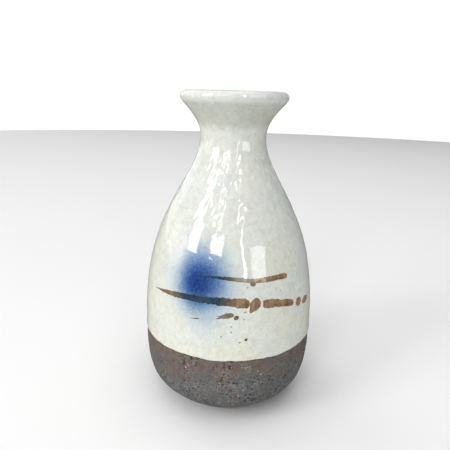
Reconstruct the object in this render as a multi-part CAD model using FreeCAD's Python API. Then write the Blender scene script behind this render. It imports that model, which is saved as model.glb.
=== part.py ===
"""Sake bottle (tokkuri): a stoneware bottle with a narrow neck and a flared lip.

The bottle is one fired piece built up in layers, and each layer is a solid of its own:
the clay body, the glaze coat dipped over its outside down to a straight line above the foot,
the lining glaze poured through its inside, and the iron-pigment brush marks that stand on the coat.

Frame: +Z up along the bottle's axis, origin at the centre of the foot, on the surface it stands on.
The brush marks are on the front, which faces -Y. Millimetres.
"""

import FreeCAD, Part
import math
import os

V = FreeCAD.Vector

# ---------------------------------------------------------------- driving dimensions
HEIGHT = 136.0            # foot to the top of the lip
BODY_DIA = 76.0           # widest part of the belly, over the glaze
LIP_DIA = 45.6            # over the rounded edge of the lip
NECK_DIA = 28.2           # narrowest part of the neck, over the glaze
FOOT_OUTER_R = 22.6       # flat ring that the bottle stands on
FOOT_INNER_R = 19.6
FOOT_RECESS = 1.6         # how far the underside is turned in
FLOOR_Z = 7.4             # inside floor of the clay
FLOOR_FLAT_R = 8.0        # the floor is flat out to here

WALL_BELLY = 4.0          # clay wall thicknesses
WALL_NECK = 3.5
THROAT_R = 10.25          # clay radius inside the neck

COAT_T = 0.50             # outer glaze
COAT_BEAD = 0.08          # extra thickness where the glaze pooled at its lower edge
COAT_EDGE_Z = 32.5        # height of the glaze line above the foot
COAT_ROUND = 1.1          # height over which the coat's lower edge rounds off
LINING_T = 0.50           # inner glaze
MARK_T = 0.12             # iron pigment standing proud of the coat

# Outside of the bottle as (z, r), over the glaze above COAT_EDGE_Z and on bare clay below it
OUTSIDE = [
    (0.35, 23.35), (2.0, 25.95), (4.8, 29.42), (7.2, 31.98), (9.6, 33.93), (12.0, 35.27), (14.6, 36.17),
    (18.0, 36.90), (22.0, 37.40), (26.5, 37.74), (31.0, 37.94), (36.0, 38.00), (42.0, 37.88), (48.0, 37.54),
    (54.0, 36.98), (60.0, 36.13), (66.0, 34.97), (72.0, 33.36), (78.0, 31.28), (84.0, 28.70), (90.0, 25.76),
    (96.0, 22.50), (102.0, 19.17), (107.0, 16.66), (111.5, 14.98), (115.5, 14.18), (118.0, 14.10),
    (120.5, 14.46), (123.0, 15.38), (126.0, 17.22), (129.0, 19.66), (131.4, 21.72), (132.7, 22.56),
    (133.8, 22.80), (134.8, 22.45), (135.6, 21.60), (136.0, 20.40),
]
# Inside of the clay as (z, r), from the top of the lip down to the floor
INSIDE = [
    (135.55, 19.30), (134.3, 18.15), (132.0, 16.62), (129.0, 14.75), (126.0, 12.95), (123.0, 11.45),
    (120.0, 10.55), (117.0, THROAT_R), (113.5, 10.45), (109.5, 11.55), (105.0, 13.60), (100.0, 16.20),
    (94.0, 19.65), (88.0, 22.95), (82.0, 25.75), (76.0, 28.10), (70.0, 29.98), (64.0, 31.42), (58.0, 32.45),
    (51.0, 33.20), (44.0, 33.58), (37.0, 33.68), (30.0, 33.45), (24.0, 32.85), (19.0, 31.55), (15.0, 29.35),
    (11.8, 26.00), (9.7, 21.60), (8.25, 16.20), (7.55, 11.50), (FLOOR_Z, FLOOR_FLAT_R),
]
MEET_Z = 132.0            # height inside the mouth where the dipped coat meets the poured lining

# Brush strokes as stations along the stroke: (angle round the bottle in degrees from the front,
# positive towards +X; height of its centre line; half its width)
UPPER_STROKE = [
    (-21.4, 66.75, 0.14), (-17.0, 66.72, 0.30), (-12.8, 66.76, 0.40), (-8.7, 66.80, 0.54), (-3.3, 66.68, 0.66),
    (2.0, 66.42, 0.78), (8.6, 66.05, 0.80), (15.8, 65.56, 0.82), (19.6, 65.49, 0.90), (27.1, 65.57, 1.04),
    (34.6, 65.62, 1.08), (38.1, 65.53, 1.14), (41.2, 65.30, 0.62),
]
LOWER_STROKE = [
    (-57.6, 55.83, 0.08), (-51.3, 56.20, 0.38), (-45.3, 56.62, 0.72), (-39.1, 56.96, 1.00), (-33.8, 57.24, 1.18),
    (-26.5, 57.56, 1.24), (-17.2, 57.63, 1.38), (-9.2, 57.70, 1.42), (-4.4, 57.64, 1.72), (1.0, 57.48, 1.60),
    (6.8, 57.12, 1.86), (10.0, 57.00, 1.92), (12.6, 56.92, 1.20),
]
LOWER_STROKE_END = [
    (22.0, 56.00, 1.62), (25.0, 55.93, 1.78), (27.4, 55.84, 1.88), (31.1, 55.51, 1.64), (35.2, 55.02, 1.54),
    (39.6, 54.34, 1.64), (43.5, 53.87, 1.50), (45.8, 53.57, 0.72),
]
SHORT_DAB = [
    (-6.2, 51.15, 0.22), (-4.6, 51.45, 0.58), (-2.5, 51.80, 0.92), (0.0, 52.10, 1.02), (1.9, 52.28, 0.90), (3.3, 52.43, 0.40),
]
THIN_DASH = [
    (-24.0, 49.14, 0.06), (-21.3, 49.44, 0.17), (-18.9, 49.68, 0.24), (-17.4, 49.77, 0.10),
]
# Round blots and drops: (angle, height, half width along the bottle, half height)
LARGE_BLOT = (16.9, 56.10, 2.20, 2.75)
TAIL_DOTS = [(51.7, 52.66, 1.70, 1.85), (60.3, 51.37, 1.75, 1.70)]
DROPS = [
    (15.4, 64.30, 1.17, 0.85), (5.1, 51.32, 1.08, 0.84), (11.3, 42.03, 0.66, 0.54), (7.5, 40.91, 0.38, 0.32),
    (10.4, 53.43, 0.50, 0.28), (9.7, 50.58, 0.32, 0.25), (11.8, 63.09, 0.36, 0.24), (2.2, 47.70, 0.25, 0.27),
    (2.3, 45.34, 0.29, 0.31), (-3.6, 43.34, 0.37, 0.23), (34.7, 60.16, 0.21, 0.17),
]


# ---------------------------------------------------------------- helpers
def spline(points, start=None, end=None):
    """An interpolated curve through (r, z) points in the XZ plane."""
    c = Part.BSplineCurve()
    pts = [V(r, 0, z) for r, z in points]
    if start is not None and end is not None:
        c.interpolate(Points=pts, InitialTangent=start, FinalTangent=end)
    else:
        c.interpolate(Points=pts)
    return c


def solid_of(edges):
    """Revolves the closed (r, z) outline made by edges once round the axis."""
    wire = Part.Wire(Part.__sortEdges__(edges))
    face = Part.Face(wire)
    body = face.revolve(V(0, 0, 0), V(0, 0, 1), 360)
    if body.ShapeType != "Solid":
        body = body.Solids[0]
    if body.Volume < 0:
        body.reverse()
    return body


def pieces(curve, ua, ub, n):
    """A stretch of a curve as n edges end to end, so that each revolved face stays simple."""
    cuts = [ua + (ub - ua) * i / n for i in range(n + 1)]
    return [curve.toShape(a, b) for a, b in zip(cuts, cuts[1:])]


def line(a, b):
    return Part.makeLine(V(a[0], 0, a[1]), V(b[0], 0, b[1]))


def normal_at(curve, u):
    """Unit normal on the curve's left as its parameter grows, in the XZ plane."""
    t = curve.tangent(u)[0]
    return V(t.z, 0, -t.x).normalize()


def smooth(t):
    t = max(0.0, min(1.0, t))
    return t * t * (3 - 2 * t)


# ---------------------------------------------------------------- the clay's own outline
# Clay under the coat lies COAT_T inside the bottle's outside; below the glaze line it is the outside.
raw = spline([(r, z) for z, r in OUTSIDE])
outer_points = []
for z, r in OUTSIDE:
    u = raw.parameter(V(r, 0, z))
    n = normal_at(raw, u)
    back = COAT_T * smooth((z - 25.0) / 10.0)
    p = V(r, 0, z) - n * back
    outer_points.append((p.x, p.z))
inner_points = [(r, z) for z, r in INSIDE]
outline = outer_points + inner_points
clay_curve = spline(outline)
U0, U1 = clay_curve.FirstParameter, clay_curve.LastParameter


def parameter_at(z, lo, hi, outside=True):
    """Where the clay outline crosses height z between two parameters."""
    n = 4000
    last = None
    for i in range(n + 1):
        u = lo + (hi - lo) * i / n
        d = clay_curve.value(u).z - z
        if last is not None and (d >= 0) != (last[1] >= 0):
            a, b = last[0], u
            for _ in range(60):
                m = (a + b) / 2
                if ((clay_curve.value(m).z - z) >= 0) == (last[1] >= 0):
                    a = m
                else:
                    b = m
            return (a + b) / 2
        last = (u, d)
    raise ValueError("the outline never reaches that height")


u_rim = clay_curve.parameter(V(outline[len(outer_points) - 1][0], 0, outline[len(outer_points) - 1][1]))
u_edge = parameter_at(COAT_EDGE_Z, U0, u_rim)
u_meet = parameter_at(MEET_Z, u_rim, U1)


def coat_thickness(u):
    """Coat thickness along the clay outline: rounded off at the glaze line, thinned to the lining inside the mouth."""
    z = clay_curve.value(u).z
    if u < u_rim:
        rise = max(0.0, z - COAT_EDGE_Z)
        t = COAT_T + COAT_BEAD * math.exp(-((rise - 1.2) / 1.6) ** 2)
        if rise < COAT_ROUND:
            k = 1 - rise / COAT_ROUND
            t *= math.sqrt(max(0.0, 1 - k * k))
        return t
    return COAT_T + (LINING_T - COAT_T) * smooth((u - u_rim) / (u_meet - u_rim))


def offset_points(ua, ub, n, thickness, spacing=None):
    out = []
    for i in range(n + 1):
        s = i / n if spacing is None else spacing(i / n)
        u = ua + (ub - ua) * s
        p = clay_curve.value(u) + normal_at(clay_curve, u) * thickness(u)
        out.append((p.x, p.z))
    return out


# ---------------------------------------------------------------- outer glaze coat
# A few close stations round off its lower edge, then even ones run over the lip to the meeting line.
near = []
u_round = parameter_at(COAT_EDGE_Z + COAT_ROUND, U0, u_rim)
for i in range(7):
    s = 1 - math.cos(math.pi / 2 * i / 6)
    u = u_edge + (u_round - u_edge) * s
    p = clay_curve.value(u) + normal_at(clay_curve, u) * coat_thickness(u)
    near.append((p.x, p.z))
first = clay_curve.value(u_edge)
near[0] = (first.x, first.z)
rest = offset_points(u_round, u_meet, 110, coat_thickness)
coat_points = near + rest[1:]
coat_curve = spline(coat_points)
coat_end = coat_curve.value(coat_curve.LastParameter)
meet_clay = clay_curve.value(u_meet)
outer_glaze = solid_of(
    pieces(clay_curve, u_edge, u_meet, 5)
    + pieces(coat_curve, coat_curve.FirstParameter, coat_curve.LastParameter, 6)
    + [Part.makeLine(meet_clay, coat_end)]
)

# ---------------------------------------------------------------- lining glaze
lining_points = offset_points(u_meet, U1, 90, lambda u: LINING_T)
lining_points[0] = (coat_end.x, coat_end.z)
lining_points[-1] = (FLOOR_FLAT_R, FLOOR_Z + LINING_T)
lining_curve = spline(lining_points)
inner_glaze = solid_of(
    pieces(clay_curve, u_meet, U1, 6)
    + pieces(lining_curve, lining_curve.FirstParameter, lining_curve.LastParameter, 6)
    + [
        Part.makeLine(meet_clay, coat_end),
        line((FLOOR_FLAT_R, FLOOR_Z), (0.0, FLOOR_Z)),
        line((FLOOR_FLAT_R, FLOOR_Z + LINING_T), (0.0, FLOOR_Z + LINING_T)),
        line((0.0, FLOOR_Z), (0.0, FLOOR_Z + LINING_T)),
    ]
)

# ---------------------------------------------------------------- clay body
heel = clay_curve.value(U0)
under = spline(
    [(FOOT_INNER_R, 0.35), (FOOT_INNER_R - 0.45, 1.0), (FOOT_INNER_R - 1.4, FOOT_RECESS - 0.12), (FOOT_INNER_R - 3.0, FOOT_RECESS)])
stoneware_body = solid_of(
    pieces(clay_curve, U0, u_edge, 2) + pieces(clay_curve, u_edge, u_meet, 5) + pieces(clay_curve, u_meet, U1, 6) + [
    Part.Arc(V(heel.x, 0, heel.z), V(FOOT_OUTER_R + 0.42, 0, 0.09), V(FOOT_OUTER_R, 0, 0.0)).toShape(),
    line((FOOT_OUTER_R, 0.0), (FOOT_INNER_R + 0.35, 0.0)),
    Part.Arc(V(FOOT_INNER_R + 0.35, 0, 0.0), V(FOOT_INNER_R + 0.09, 0, 0.11), V(FOOT_INNER_R, 0, 0.35)).toShape(),
    under.toShape(),
    line((FOOT_INNER_R - 3.0, FOOT_RECESS), (0.0, FOOT_RECESS)),
    line((0.0, FOOT_RECESS), (0.0, FLOOR_Z)),
    line((0.0, FLOOR_Z), (FLOOR_FLAT_R, FLOOR_Z)),
])

# ---------------------------------------------------------------- iron marks on the coat
def coat_parameter(z):
    """Where the coat's outside reaches height z, on the body's side of the lip."""
    a, b = coat_curve.FirstParameter, coat_curve.parameter(V(22.8, 0, 133.8))
    for _ in range(80):
        m = (a + b) / 2
        if coat_curve.value(m).z < z:
            a = m
        else:
            b = m
    return (a + b) / 2


ua, ub = coat_parameter(38.5), coat_parameter(70.0)
skin_points = []
for i in range(41):
    u = ua + (ub - ua) * i / 40
    p = coat_curve.value(u) + normal_at(coat_curve, u) * MARK_T
    skin_points.append((p.x, p.z))
skin_curve = spline(skin_points)
pa, pb = coat_curve.value(ua), coat_curve.value(ub)
skin = solid_of([
    coat_curve.toShape(ua, ub),
    skin_curve.toShape(),
    line((pa.x, pa.z), skin_points[0]),
    line((pb.x, pb.z), skin_points[-1]),
])


def on_coat(angle, z):
    r = coat_curve.value(coat_parameter(z)).x
    a = math.radians(angle)
    return V(r * math.sin(a), -r * math.cos(a), z)


class Sketch:
    """A vertical plane outside the bottle that faces it from one angle: marks are drawn there and projected in."""

    def __init__(self, angle):
        a = math.radians(angle)
        self.out = V(math.sin(a), -math.cos(a), 0)
        self.side = V(math.cos(a), math.sin(a), 0)

    def at(self, p, depth=60.0):
        return self.side * p.dot(self.side) + V(0, 0, p.z) + self.out * depth

    def cut(self, wire):
        """The part of the skin behind a closed wire on this plane."""
        prism = Part.Face(wire).extrude(self.out * -58.0)
        found = skin.common(prism)
        solids = [s for s in found.Solids if s.Volume > 1e-5]
        return solids


def stroke(stations):
    mid = (stations[0][0] + stations[-1][0]) / 2
    plane = Sketch(mid)
    top = [plane.at(on_coat(a, z + w)) for a, z, w in stations]
    low = [plane.at(on_coat(a, z - w)) for a, z, w in stations]
    upper, lower = Part.BSplineCurve(), Part.BSplineCurve()
    upper.interpolate(top)
    lower.interpolate(low)
    first = Part.makeLine(top[0], low[0])
    # the far end is rounded outwards
    a, z, w = stations[-1]
    tip = plane.at(on_coat(a + math.degrees(w * 0.8 / 37.0), z))
    last = Part.Arc(top[-1], tip, low[-1]).toShape()
    wire = Part.Wire(Part.__sortEdges__([upper.toShape(), last, lower.toShape(), first]))
    return plane.cut(wire)


def blot(angle, z, half_w, half_h):
    plane = Sketch(angle)
    c = plane.at(on_coat(angle, z))
    major, minor = max(half_w, half_h), min(half_w, half_h)
    along = plane.side if half_w >= half_h else V(0, 0, 1)
    across = V(0, 0, 1) if half_w >= half_h else plane.side
    if major - minor < 1e-3:
        major = minor + 1e-3
    e = Part.Ellipse(c + along * major, c + across * minor, c)
    return plane.cut(Part.Wire([e.toShape()]))


def without(solids, others):
    """Solids cut back to where they meet marks that were laid first, face to face."""
    out = []
    for s in solids:
        for o in others:
            if s.BoundBox.intersect(o.BoundBox):
                s = s.cut(o)
        out += [p for p in s.Solids if p.Volume > 1e-5]
    return out


marks = {
    "upper_brush_stroke": stroke(UPPER_STROKE),
    "lower_brush_stroke": stroke(LOWER_STROKE),
    "lower_brush_stroke_end": stroke(LOWER_STROKE_END),
    "round_brush_blot": blot(*LARGE_BLOT),
    "brush_tail_dots": [s for d in TAIL_DOTS for s in blot(*d)],
    "short_brush_dabs": stroke(SHORT_DAB) + stroke(THIN_DASH),
    "iron_drops": [s for d in DROPS for s in blot(*d)],
}

marks["round_brush_blot"] = without(marks["round_brush_blot"], marks["lower_brush_stroke"])
marks["iron_drops"] = without(marks["iron_drops"], marks["upper_brush_stroke"] + marks["short_brush_dabs"])

# ---------------------------------------------------------------- export
os.makedirs("parts", exist_ok=True)
nodes = {"stoneware_body": stoneware_body, "outer_glaze": outer_glaze, "inner_glaze": inner_glaze}
for name, solids in marks.items():
    nodes[name] = solids[0] if len(solids) == 1 else Part.makeCompound(solids)

for name, shape in nodes.items():
    shape.exportStep("parts/" + name + ".step")
    b = shape.BoundBox
    print(name, "solids", len(shape.Solids), "valid", shape.isValid(), "volume %.3f" % shape.Volume,
          "x %.2f..%.2f y %.2f..%.2f z %.2f..%.2f" % (b.XMin, b.XMax, b.YMin, b.YMax, b.ZMin, b.ZMax))

# What the bottle holds, to the narrowest part of the neck
hold, steps = 0.0, 600
za, zb = FLOOR_Z + LINING_T, 117.0
pts = sorted((z, r) for r, z in lining_points)
for i in range(steps):
    z = za + (zb - za) * (i + 0.5) / steps
    for (z0, r0), (z1, r1) in zip(pts, pts[1:]):
        if z0 <= z <= z1 and z1 > z0:
            hold += math.pi * (r0 + (r1 - r0) * (z - z0) / (z1 - z0)) ** 2 * (zb - za) / steps
            break
print("holds to the throat: %.0f ml" % (hold / 1000))
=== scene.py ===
import math

import bpy
import numpy as np
from mathutils import Matrix, Vector


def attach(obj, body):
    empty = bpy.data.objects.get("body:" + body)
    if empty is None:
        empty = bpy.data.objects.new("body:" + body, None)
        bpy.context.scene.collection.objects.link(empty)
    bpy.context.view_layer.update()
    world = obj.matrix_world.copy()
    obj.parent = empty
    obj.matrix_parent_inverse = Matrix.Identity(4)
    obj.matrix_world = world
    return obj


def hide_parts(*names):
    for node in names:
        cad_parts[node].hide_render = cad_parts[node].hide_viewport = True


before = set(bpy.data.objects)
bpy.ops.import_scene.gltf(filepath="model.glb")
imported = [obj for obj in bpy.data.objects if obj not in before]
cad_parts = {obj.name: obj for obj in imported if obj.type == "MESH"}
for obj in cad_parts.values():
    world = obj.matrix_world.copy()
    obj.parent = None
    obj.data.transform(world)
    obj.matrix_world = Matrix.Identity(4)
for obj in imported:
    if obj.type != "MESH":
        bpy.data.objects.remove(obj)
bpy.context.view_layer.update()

MM = 0.001

# ------------------------------------------------------------------ the bottle's outline, in millimetres
OUTSIDE = [
    (0.35, 23.35), (2.0, 25.95), (4.8, 29.42), (7.2, 31.98), (9.6, 33.93), (12.0, 35.27), (14.6, 36.17),
    (18.0, 36.90), (22.0, 37.40), (26.5, 37.74), (31.0, 37.94), (36.0, 38.00), (42.0, 37.88), (48.0, 37.54),
    (54.0, 36.98), (60.0, 36.13), (66.0, 34.97), (72.0, 33.36), (78.0, 31.28), (84.0, 28.70), (90.0, 25.76),
    (96.0, 22.50), (102.0, 19.17), (107.0, 16.66), (111.5, 14.98), (115.5, 14.18), (118.0, 14.10),
    (120.5, 14.46), (123.0, 15.38), (126.0, 17.22), (129.0, 19.66), (131.4, 21.72), (132.7, 22.56),
    (133.8, 22.80), (134.8, 22.45), (135.6, 21.60), (136.0, 20.40),
]
INSIDE = [
    (135.55, 19.30), (134.3, 18.15), (132.0, 16.62), (129.0, 14.75), (126.0, 12.95), (123.0, 11.45),
    (120.0, 10.55), (117.0, 10.25), (113.5, 10.45), (109.5, 11.55), (105.0, 13.60), (100.0, 16.20),
    (94.0, 19.65), (88.0, 22.95), (82.0, 25.75), (76.0, 28.10), (70.0, 29.98), (64.0, 31.42), (58.0, 32.45),
    (51.0, 33.20), (44.0, 33.58), (37.0, 33.68), (30.0, 33.45), (24.0, 32.85), (19.0, 31.55), (15.0, 29.35),
    (11.8, 26.00), (9.7, 21.60), (8.25, 16.20), (7.55, 11.50), (7.4, 8.0),
]
COAT_T, COAT_BEAD, COAT_EDGE_Z, LINING_T, MEET_Z = 0.50, 0.08, 32.5, 0.50, 132.0
FLOOR_Z = 7.4


def natural_spline(points):
    """Sampler for a natural cubic through (r, z) points, with its parameter running by chord length."""
    p = np.array(points, float)
    t = np.concatenate([[0], np.cumsum(np.linalg.norm(np.diff(p, axis=0), axis=1))])
    n = len(t)
    h = np.diff(t)
    a = np.zeros((n, n))
    b = np.zeros((n, 2))
    a[0, 0] = a[-1, -1] = 1
    for i in range(1, n - 1):
        a[i, i - 1], a[i, i], a[i, i + 1] = h[i - 1], 2 * (h[i - 1] + h[i]), h[i]
        b[i] = 6 * ((p[i + 1] - p[i]) / h[i] - (p[i] - p[i - 1]) / h[i - 1])
    m = np.linalg.solve(a, b)

    def at(s):
        s = np.atleast_1d(np.asarray(s, float))
        i = np.clip(np.searchsorted(t, s, side="right") - 1, 0, n - 2)
        u, w = s - t[i], t[i + 1] - s
        hi = h[i]
        return (
            (m[i] * (w ** 3)[:, None] + m[i + 1] * (u ** 3)[:, None]) / (6 * hi)[:, None]
            + (p[i] / hi[:, None] - m[i] * hi[:, None] / 6) * w[:, None]
            + (p[i + 1] / hi[:, None] - m[i + 1] * hi[:, None] / 6) * u[:, None]
        )

    return at, t


def normals(at, s):
    e = 0.02
    d = at(s + e) - at(s - e)
    d /= np.linalg.norm(d, axis=1)[:, None]
    return np.stack([d[:, 1], -d[:, 0]], 1)


def smooth(t):
    t = np.clip(t, 0, 1)
    return t * t * (3 - 2 * t)


raw_at, raw_t = natural_spline([(r, z) for z, r in OUTSIDE])
raw_n = normals(raw_at, np.clip(raw_t, 0.03, raw_t[-1] - 0.03))
clay_out = [
    (r - n[0] * COAT_T * float(smooth((z - 25.0) / 10.0)), z - n[1] * COAT_T * float(smooth((z - 25.0) / 10.0)))
    for (z, r), n in zip(OUTSIDE, raw_n)
]
clay_at, clay_t = natural_spline(clay_out + [(r, z) for z, r in INSIDE])
T_RIM = clay_t[len(OUTSIDE) - 1]
T_END = clay_t[-1]
_s = np.linspace(0, T_END, 12001)
_p = clay_at(_s)


def where_z(z, lo, hi):
    k = (_s >= lo) & (_s <= hi)
    s, p = _s[k], _p[k]
    i = np.where(np.diff(np.sign(p[:, 1] - z)))[0][0]
    f = (z - p[i, 1]) / (p[i + 1, 1] - p[i, 1])
    return s[i] + f * (s[i + 1] - s[i])


T_EDGE = where_z(COAT_EDGE_Z, 0, T_RIM)
T_MEET = where_z(MEET_Z, T_RIM, T_END)


def coat_thickness(s):
    z = clay_at(s)[:, 1]
    rise = np.maximum(0, z - COAT_EDGE_Z)
    out = COAT_T + COAT_BEAD * 0.8 * np.exp(-(((rise - 1.2) / 1.6) ** 2))
    k = np.clip(1 - rise / 1.1, 0, 1)
    out = out * np.sqrt(np.maximum(0, 1 - k * k))
    inside = COAT_T + (LINING_T - COAT_T) * smooth((s - T_RIM) / (T_MEET - T_RIM))
    return np.where(s < T_RIM, out, inside)


_so = np.linspace(T_EDGE, T_RIM, 4000)
_co = clay_at(_so) + normals(clay_at, _so) * coat_thickness(_so)[:, None]
_rim = int(np.argmax(_co[:, 0] * (_co[:, 1] > 130)))
_zo, _ro = _co[:_rim, 1], _co[:_rim, 0]
_no = normals(clay_at, _so)[:_rim]


# ------------------------------------------------------------------ unevenness of the glaze, as real shape
_rng = np.random.RandomState(11)
WAVES = []
for _ in range(26):     # broad unevenness of a dipped coat
    m = _rng.randint(0, 16)
    lam = _rng.uniform(9, 34)
    WAVES.append((m, 2 * math.pi / lam * _rng.choice([-1, 1]), _rng.uniform(0, 2 * math.pi), 0.0017 * lam ** 0.62 * _rng.uniform(0.4, 1)))
for _ in range(16):     # finer pull of the brush and the wheel
    m = _rng.randint(0, 34)
    lam = _rng.uniform(4.2, 9)
    WAVES.append((m, 2 * math.pi / lam * _rng.choice([-1, 1]), _rng.uniform(0, 2 * math.pi), 0.0034 * _rng.uniform(0.4, 1)))
CURLS = []
for _ in range(44):     # the close, lumpy skin of the shoulder
    lam = _rng.uniform(2.7, 5.2)
    way = _rng.uniform(0, math.pi)
    CURLS.append((int(round(2 * math.pi / lam * math.cos(way) * 28.0)), 2 * math.pi / lam * math.sin(way), _rng.uniform(0, 2 * math.pi), 0.0029 * lam * _rng.uniform(0.5, 1)))
RINGS = [(2 * math.pi / _rng.uniform(3.6, 6.4), _rng.uniform(0, 6.28), _rng.randint(1, 4), _rng.uniform(0.5, 1)) for _ in range(6)]


def ripple(phi, z):
    """Height of the glaze's unevenness, in mm, always at or below the coat's true outline."""
    total = np.zeros(np.broadcast(phi, z).shape)
    for m, k, p, a in WAVES:
        total += a * np.cos(m * phi + k * z + p)
    total *= 1 - 0.45 * np.exp(-(((z - 95.0) / 24.0) ** 2))
    shoulder = np.exp(-np.abs((z - 97.0) / 17.0) ** 2.6) * (1 - smooth((z - 112.0) / 6.0))
    for m, k, p, a in CURLS:
        total += a * (0.10 + shoulder) * np.cos(m * phi + k * z + p)
    for k, p, m, a in RINGS:
        total += 0.0085 * a * shoulder * np.cos(k * z + 0.9 * np.sin(m * phi + p) + p)
    return np.clip(total, -0.12, 0.12) - 0.125


def coat_point(phi, z, lift):
    """A point on the outside of the coat at angle phi (radians, from the front) and height z, lifted by lift mm."""
    z = np.asarray(z, float)
    r = np.interp(z, _zo, _ro)
    nr, nz = np.interp(z, _zo, _no[:, 0]), np.interp(z, _zo, _no[:, 1])
    d = ripple(phi, z) + lift
    rr = r + nr * d
    return np.stack([rr * np.sin(phi), -rr * np.cos(phi), z + nz * d], -1)


# ------------------------------------------------------------------ mesh helpers
def make_object(name, verts_mm, faces, mat, attributes=None):
    me = bpy.data.meshes.new(name)
    me.from_pydata((np.asarray(verts_mm) * MM).tolist(), [], faces)
    me.validate()
    me.update()
    me.polygons.foreach_set("use_smooth", [True] * len(me.polygons))
    if attributes:
        for key, values in attributes.items():
            a = me.attributes.new(key, "FLOAT", "POINT")
            a.data.foreach_set("value", np.asarray(values, np.float32))
    me.materials.append(mat)
    ob = bpy.data.objects.new(name, me)
    bpy.context.collection.objects.link(ob)
    return ob


def ring_faces(rows, cols, closed_rows, start=0):
    out = []
    for i in range(rows if closed_rows else rows - 1):
        a, b = i * cols, ((i + 1) % rows) * cols
        for j in range(cols):
            k = (j + 1) % cols
            out.append((start + a + j, start + a + k, start + b + k, start + b + j))
    return out


def turned(name, outline, cols, mat, closed=True, shift=None):
    """A turned piece: outline is (r, z, nr, nz, weight) rows, and shift(phi, z) moves a row along its normal by weight."""
    o = np.asarray(outline, float)
    phi = np.linspace(0, 2 * math.pi, cols, endpoint=False)
    r, z = o[:, 0][:, None], o[:, 1][:, None]
    d = np.zeros((len(o), cols))
    if shift is not None:
        k = o[:, 4] != 0
        d[k] = shift(phi[None, :], z[k]) * o[k, 4][:, None]
    rr = r + o[:, 2][:, None] * d
    zz = z + o[:, 3][:, None] * d
    v = np.stack([rr * np.sin(phi), -rr * np.cos(phi), zz + 0 * phi], -1).reshape(-1, 3)
    faces = ring_faces(len(o), cols, closed)
    verts = v.tolist()
    if not closed:      # both ends meet the axis
        for row, flip in ((0, True), (len(o) - 1, False)):
            verts.append([0.0, 0.0, float(o[row, 1])])
            c = len(verts) - 1
            for j in range(cols):
                a, b = row * cols + j, row * cols + (j + 1) % cols
                faces.append((c, b, a) if flip else (c, a, b))
    return make_object(name, verts, faces, mat)


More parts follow.
